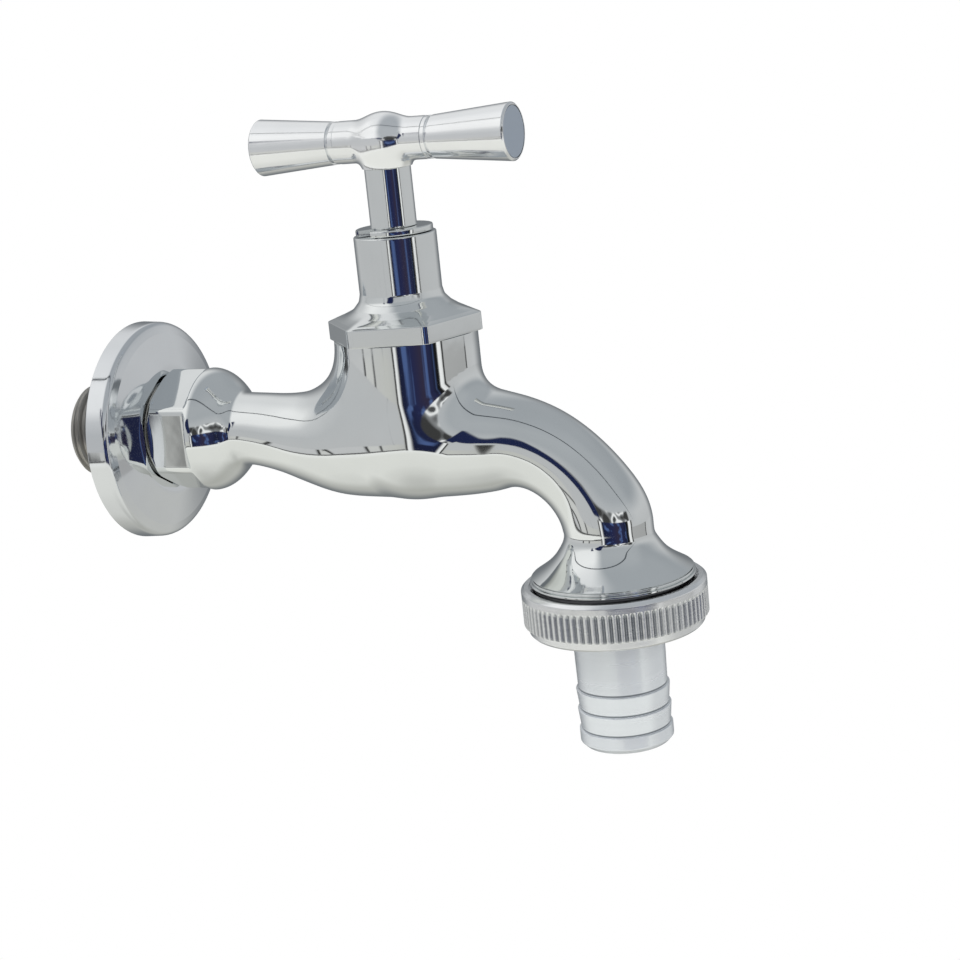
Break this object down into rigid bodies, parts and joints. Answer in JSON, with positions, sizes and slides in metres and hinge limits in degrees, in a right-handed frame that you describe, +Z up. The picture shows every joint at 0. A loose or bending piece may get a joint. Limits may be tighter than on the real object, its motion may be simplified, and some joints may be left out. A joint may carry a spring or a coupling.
{
  "type": "utility sink bib tap",
  "caption": "Wall mounted cold water tap with a T handle, round wall rosette, bent spout and a union nut with a barbed hose tail.",
  "frame": {"origin": "point on the inlet axis in the plane of the wall, which is the back edge of the rosette", "axes": "+X out of the wall along the inlet towards the spout, +Z up along the valve spindle, +Y to the left of someone who faces away from the wall"},
  "size_m": [0.1428, 0.0484, 0.1348],
  "materials": {
    "chrome_body": "mirror chrome plate over polished cast brass",
    "chrome_sheet": "mirror chrome plate over pressed sheet",
    "chrome_headwork": "mirror chrome plate over turned brass",
    "chrome_handle": "mirror chrome plate with fine polishing marks",
    "end_disc": "matte brushed grey disc",
    "satin_aluminium": "satin turned and knurled metal",
    "brass": "bare turned brass",
    "spring_steel": "plated spring steel",
    "rubber": "moulded black rubber",
    "fibre": "pressed red sealing fibre",
    "slip_plastic": "white slippery plastic"
  },
  "bodies": {
    "tap": {"valve_body": "chrome_body", "bonnet": "chrome_headwork", "bonnet_gasket": "fibre", "thrust_washer": "slip_plastic"},
    "rosette": {"wall_rosette": "chrome_sheet"},
    "handle": {"spindle": "chrome_headwork", "spindle_o_ring_upper": "rubber", "spindle_o_ring_lower": "rubber", "retaining_clip": "spring_steel", "handle_hub": "chrome_handle", "handle_grip_right": "chrome_handle", "handle_grip_left": "chrome_handle", "handle_end_disc_right": "end_disc", "handle_end_disc_left": "end_disc", "handle_grub_screw": "spring_steel"},
    "valve": {"valve_carrier": "brass", "seat_washer": "rubber", "washer_screw": "brass"},
    "tail": {"hose_tail": "satin_aluminium", "union_gasket": "rubber"},
    "nut": {"union_nut": "satin_aluminium"}
  },
  "joints": [
    {"name": "handle_turn", "type": "hinge", "parent": "tap", "child": "handle", "pos_m": [0.0675, 0, 0.04], "axis": [0, 0, 1], "range_deg": [0, 900]},
    {"name": "valve_lift", "type": "slide", "parent": "tap", "child": "valve", "axis": [0, 0, 1], "range_m": [0, 0.005]},
    {"name": "nut_turn", "type": "hinge", "parent": "tail", "child": "nut", "pos_m": [0.1093, 0, -0.038], "axis": [0, 0, -1], "range_deg": [0, 900]},
    {"name": "tail_slide", "type": "slide", "parent": "tap", "child": "tail", "axis": [0, 0, -1], "range_m": [0, 0.00577]},
    {"name": "rosette_slide", "type": "slide", "parent": "tap", "child": "rosette", "axis": [-1, 0, 0], "range_m": [0, 0.01]}
  ],
  "couplings": [
    {"joint": "handle_turn", "follows": "valve_lift", "rad_per_m": 3141.6},
    {"joint": "nut_turn", "follows": "tail_slide", "rad_per_m": 2721.2}
  ]
}
